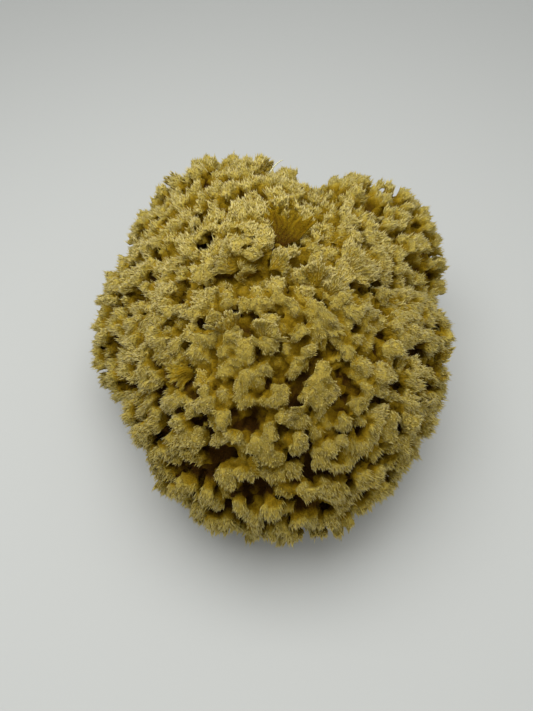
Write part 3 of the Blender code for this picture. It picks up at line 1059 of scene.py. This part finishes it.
class SPONGE_OT_skin(bpy.types.Operator):
    """Grow the columns with their knobs and bridges, and fuse them with the pitted core"""

    bl_idname = "sponge.skin"
    bl_label = "Skin"

    def execute(self, context):
        form = context.scene.sponge_form
        material = straw_material("straw_skin", colour_stops(context.scene.sponge_colours), is_fibre=False)
        grow_skin(form, Columns(form), material)
        return {"FINISHED"}


class SPONGE_OT_fibres(bpy.types.Operator):
    """Cover the skin in felt, and fringe the ends of its columns"""

    bl_idname = "sponge.fibres"
    bl_label = "Fibres"

    def execute(self, context):
        fibres = context.scene.sponge_fibres
        material = straw_material("straw_fibres", colour_stops(context.scene.sponge_colours), is_fibre=True)
        sampler = SkinSampler("sponge_skin")
        is_front = sampler.middle[:, 1] < 0.0
        on_base = sampler.middle[:, 2] < 0.3
        below, facing = sampler.below, sampler.facing
        ways = unit(sampler.middle - HEART)
        low = low_share(ways)
        felt = np.where(on_base, 0.0, 0.3 + bell(below, 0.0, 5.0)) * (1.0 - 0.5 * low)
        rim = (bell(facing, 0.5, 0.35) + 0.25) * (1.0 + 0.4 * dome_share(ways))
        fringe = np.where(on_base, 0.0, bell(below, 0.0, 1.8 - 0.6 * low) * rim) * (1.0 - 0.4 * low)
        teeth = np.where(on_base, 0.0, bell(below, 0.0, 1.2) * bell(facing, 0.6, 0.25)) * (0.4 + 1.6 * low)
        weights = {"felt": felt, "fringe": fringe, "teeth": teeth}
        for side, chosen in (("front", is_front), ("back", ~is_front)):
            for kind, weight in weights.items():
                count, length = getattr(fibres, f"{kind}_count"), getattr(fibres, f"{kind}_length")
                grow_fibres(
                    f"{kind}_{side}", kind, sampler, weight * chosen, count, length,
                    fibres.thickness, material, is_back=side == "back",
                )
        return {"FINISHED"}


class SPONGE_OT_fans(bpy.types.Operator):
    """Lay ribbed fans over the skin, and fringe them"""

    bl_idname = "sponge.fans"
    bl_label = "Fans"

    def execute(self, context):
        (points, quads, caps), depth, strand, growth = fan_sheets(context.scene.sponge_form)
        mesh = make_mesh("fans", points, quads, caps)
        mesh.shade_smooth()
        set_attribute(mesh, "depth", depth)
        set_attribute(mesh, "strand", strand)
        set_attribute(mesh, "growth", growth)
        stops = colour_stops(context.scene.sponge_colours)
        ride_and_replace(put_in_scene("fans", mesh, straw_material("straw_fans", stops, is_fibre=False)))
        fibres = context.scene.sponge_fibres
        sampler = SkinSampler("fans")
        grow_fibres(
            "fan_fringe", "fan_fringe", sampler, 0.25 + bell(sampler.below, 0.0, 1.5), fibres.fan_count,
            fibres.fringe_length, fibres.thickness, straw_material("straw_fan_fringe", stops, is_fibre=True),
        )
        return {"FINISHED"}


class SPONGE_OT_loose(bpy.types.Operator):
    """Lay one loose pale fibre on the back left lobe, and a speck of dirt on the left side"""

    bl_idname = "sponge.loose"
    bl_label = "Loose fibre"

    def execute(self, context):
        tube, speck = loose_pieces(SkinSampler("sponge_skin"))
        points, quads, caps = join_shapes([tube, speck])
        mesh = make_mesh("loose_fibre", points, quads, caps)
        mesh.shade_smooth()
        set_attribute(mesh, "depth", np.where(np.arange(len(points)) < len(tube[0]), 0.0, SPECK_DEPTH))
        set_attribute(mesh, "strand", points)
        material = straw_material("loose_fibre", LOOSE_STOPS, is_fibre=False)
        ride_and_replace(put_in_scene("loose_fibre", mesh, material))
        return {"FINISHED"}


class SPONGE_OT_stage(bpy.types.Operator):
    """Lay the pale floor, hang the soft lights and set the camera"""

    bl_idname = "sponge.stage"
    bl_label = "Stage"

    def execute(self, context):
        scene = context.scene
        stage = scene.sponge_stage
        corners = FLOOR_HALF * np.array([[-1.0, -1.0, 0.0], [1.0, -1.0, 0.0], [1.0, 1.0, 0.0], [-1.0, 1.0, 0.0]])
        mesh = make_mesh("floor", corners, np.array([[0, 1, 2, 3]]))
        finish = Finish("pale_floor", {"Base Color": (*stage.floor, 1.0), **FLOOR_FINISH})
        put_in_scene("floor", mesh, finish.material)

        lamp = bpy.data.lights.new("key", "AREA")
        lamp.shape = "RECTANGLE"
        lamp.size, lamp.size_y = LAMP_SIZE
        lamp.energy = stage.key_power
        key = bpy.data.objects.new("key", lamp)
        key.location = LAMP_PLACE
        key.rotation_euler = (0.0, math.radians(LAMP_TILT), 0.0)
        scene.collection.objects.link(key)

        world = bpy.data.worlds.new("soft_light")
        world.use_nodes = True
        sky = world.node_tree.nodes["Background"]
        sky.inputs["Color"].default_value = SKY_COLOUR
        sky.inputs["Strength"].default_value = stage.sky
        scene.world = world
        scene.view_settings.view_transform = "Standard"

        lens = bpy.data.cameras.new("camera")
        lens.sensor_width = SENSOR_WIDTH
        lens.lens = stage.focal * lens.sensor_width / PICTURE_HEIGHT
        lens.clip_start = 0.01
        camera = bpy.data.objects.new("camera", lens)
        camera.location = CAMERA_PLACE
        camera.rotation_euler = (math.radians(90.0) - stage.pitch, 0.0, 0.0)
        scene.collection.objects.link(camera)
        scene.camera = camera
        return {"FINISHED"}


class SPONGE_PT_panel(bpy.types.Panel):
    """Lists the steps that make the sponge, in order"""

    bl_idname = "SPONGE_PT_panel"
    bl_label = "Sea Sponge"
    bl_space_type = "VIEW_3D"
    bl_region_type = "UI"
    bl_category = "Sea Sponge"

    def draw(self, context):
        for title in GROUPS:
            group = getattr(context.scene, title)
            box = self.layout.box()
            for name in group.bl_rna.properties.keys():
                if name not in ("rna_type", "name"):
                    box.prop(group, name)
        for operator in OPERATORS:
            self.layout.operator(operator.bl_idname)


GROUPS = {
    "sponge_form": SpongeForm,
    "sponge_fibres": SpongeFibres,
    "sponge_colours": SpongeColours,
    "sponge_stage": SpongeStage,
}
OPERATORS = (SPONGE_OT_skin, SPONGE_OT_fibres, SPONGE_OT_fans, SPONGE_OT_loose, SPONGE_OT_stage)


def register():
    """Makes the operators, the panel and the groups of settings known."""
    for cls in (*GROUPS.values(), *OPERATORS, SPONGE_PT_panel):
        bpy.utils.register_class(cls)
    for name, group in GROUPS.items():
        setattr(bpy.types.Scene, name, bpy.props.PointerProperty(type=group))


def unregister():
    """Takes them all away again, in the opposite order."""
    for name in GROUPS:
        delattr(bpy.types.Scene, name)
    for cls in reversed((*GROUPS.values(), *OPERATORS, SPONGE_PT_panel)):
        bpy.utils.unregister_class(cls)


def main():
    """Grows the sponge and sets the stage."""
    register()
    bpy.ops.sponge.skin()
    bpy.ops.sponge.fibres()
    bpy.ops.sponge.fans()
    bpy.ops.sponge.loose()
    bpy.ops.sponge.stage()


if __name__ == "__main__":
    main()
